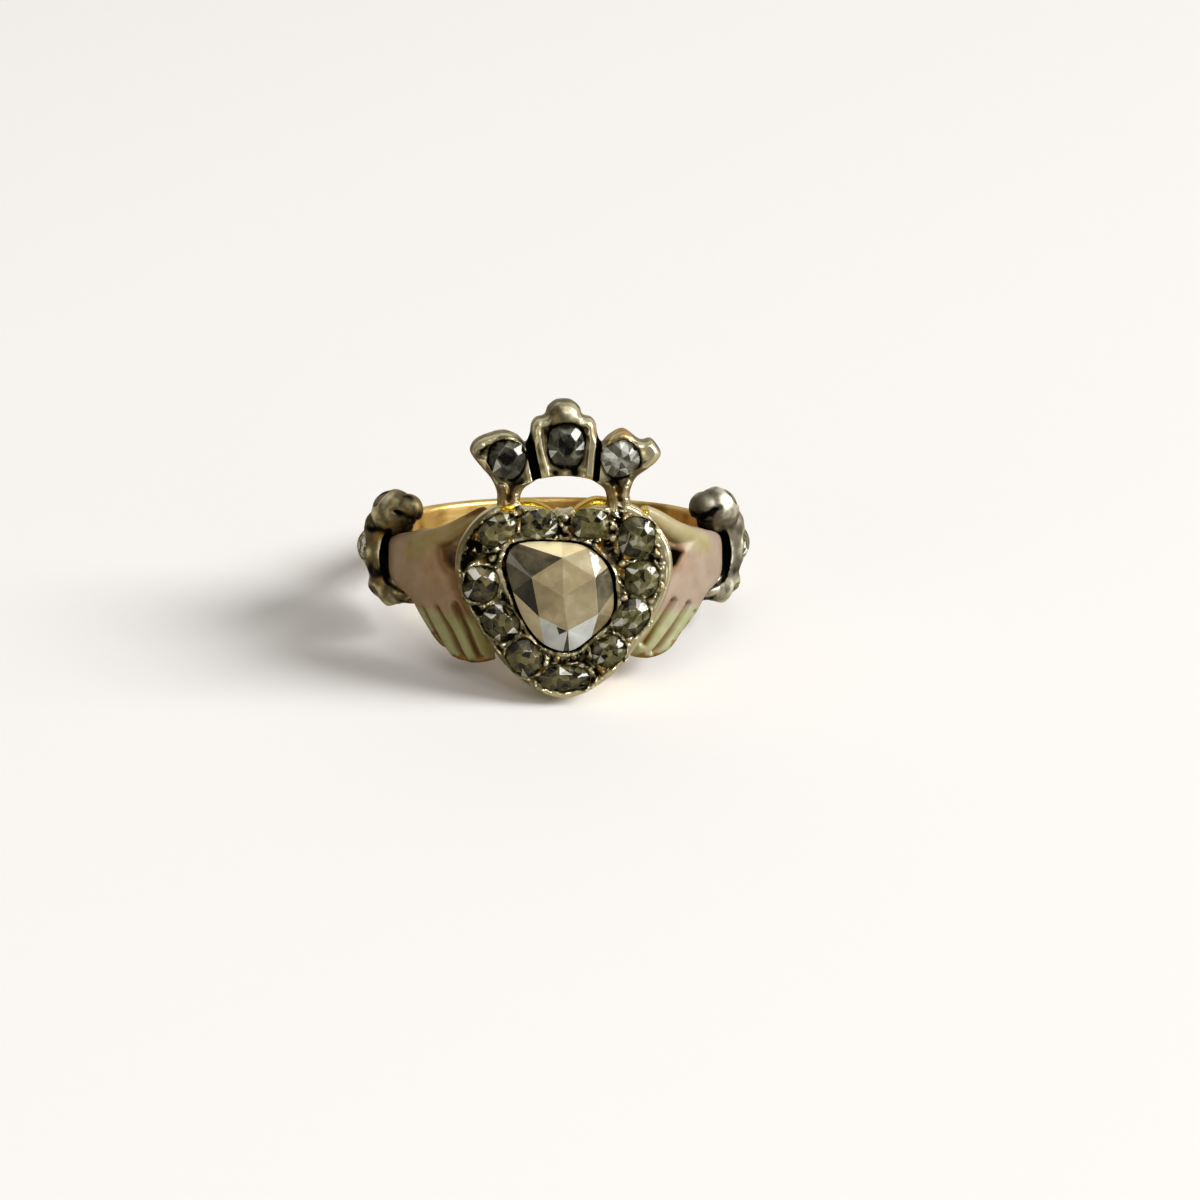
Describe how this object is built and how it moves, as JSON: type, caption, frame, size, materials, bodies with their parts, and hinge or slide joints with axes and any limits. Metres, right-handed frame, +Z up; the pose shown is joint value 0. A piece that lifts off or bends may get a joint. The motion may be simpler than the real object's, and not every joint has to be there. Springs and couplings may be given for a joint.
{
  "type": "fede ring",
  "caption": "Finger ring with two enamelled hands that come out of stone-set cuffs and hold a crowned heart of faceted stones, laid on its side.",
  "frame": {"origin": "centre of the finger hole, on its axis at the middle of the band's width", "axes": "+Z up from the surface that the ring rests on, -Y towards the heart, +X to the right of a viewer who faces the heart; the finger hole's axis leans back from +Z in the YZ plane"},
  "size_m": [0.0218, 0.0218, 0.0154],
  "materials": {
    "silver": "cast silver, worn bright on the high places and blackened in the recesses",
    "gold": "polished rose gold band and yellow gold back plate, softly worn",
    "enamel": "glossy pink enamel that turns cream green on the fingers, worn to gold at the tips",
    "rose_cut_stone": "faceted clear stone over a closed back",
    "small_stone": "faceted smoky clear stone"
  },
  "bodies": {
    "root": {"ring_mount": "silver", "left_hand": "enamel", "right_hand": "enamel", "centre_stone": "rose_cut_stone", "halo_stone_1": "small_stone", "halo_stone_2": "small_stone", "halo_stone_3": "small_stone", "halo_stone_4": "small_stone", "halo_stone_5": "small_stone", "halo_stone_6": "small_stone", "halo_stone_7": "small_stone", "halo_stone_8": "small_stone", "halo_stone_9": "small_stone", "halo_stone_10": "small_stone", "halo_stone_11": "small_stone", "crown_stone_left": "small_stone", "crown_stone_centre": "small_stone", "crown_stone_right": "small_stone", "cuff_stone_left_top": "small_stone", "cuff_stone_left_middle": "small_stone", "cuff_stone_left_bottom": "small_stone", "cuff_stone_right_top": "small_stone", "cuff_stone_right_middle": "small_stone", "cuff_stone_right_bottom": "small_stone"}
  },
  "joints": []
}
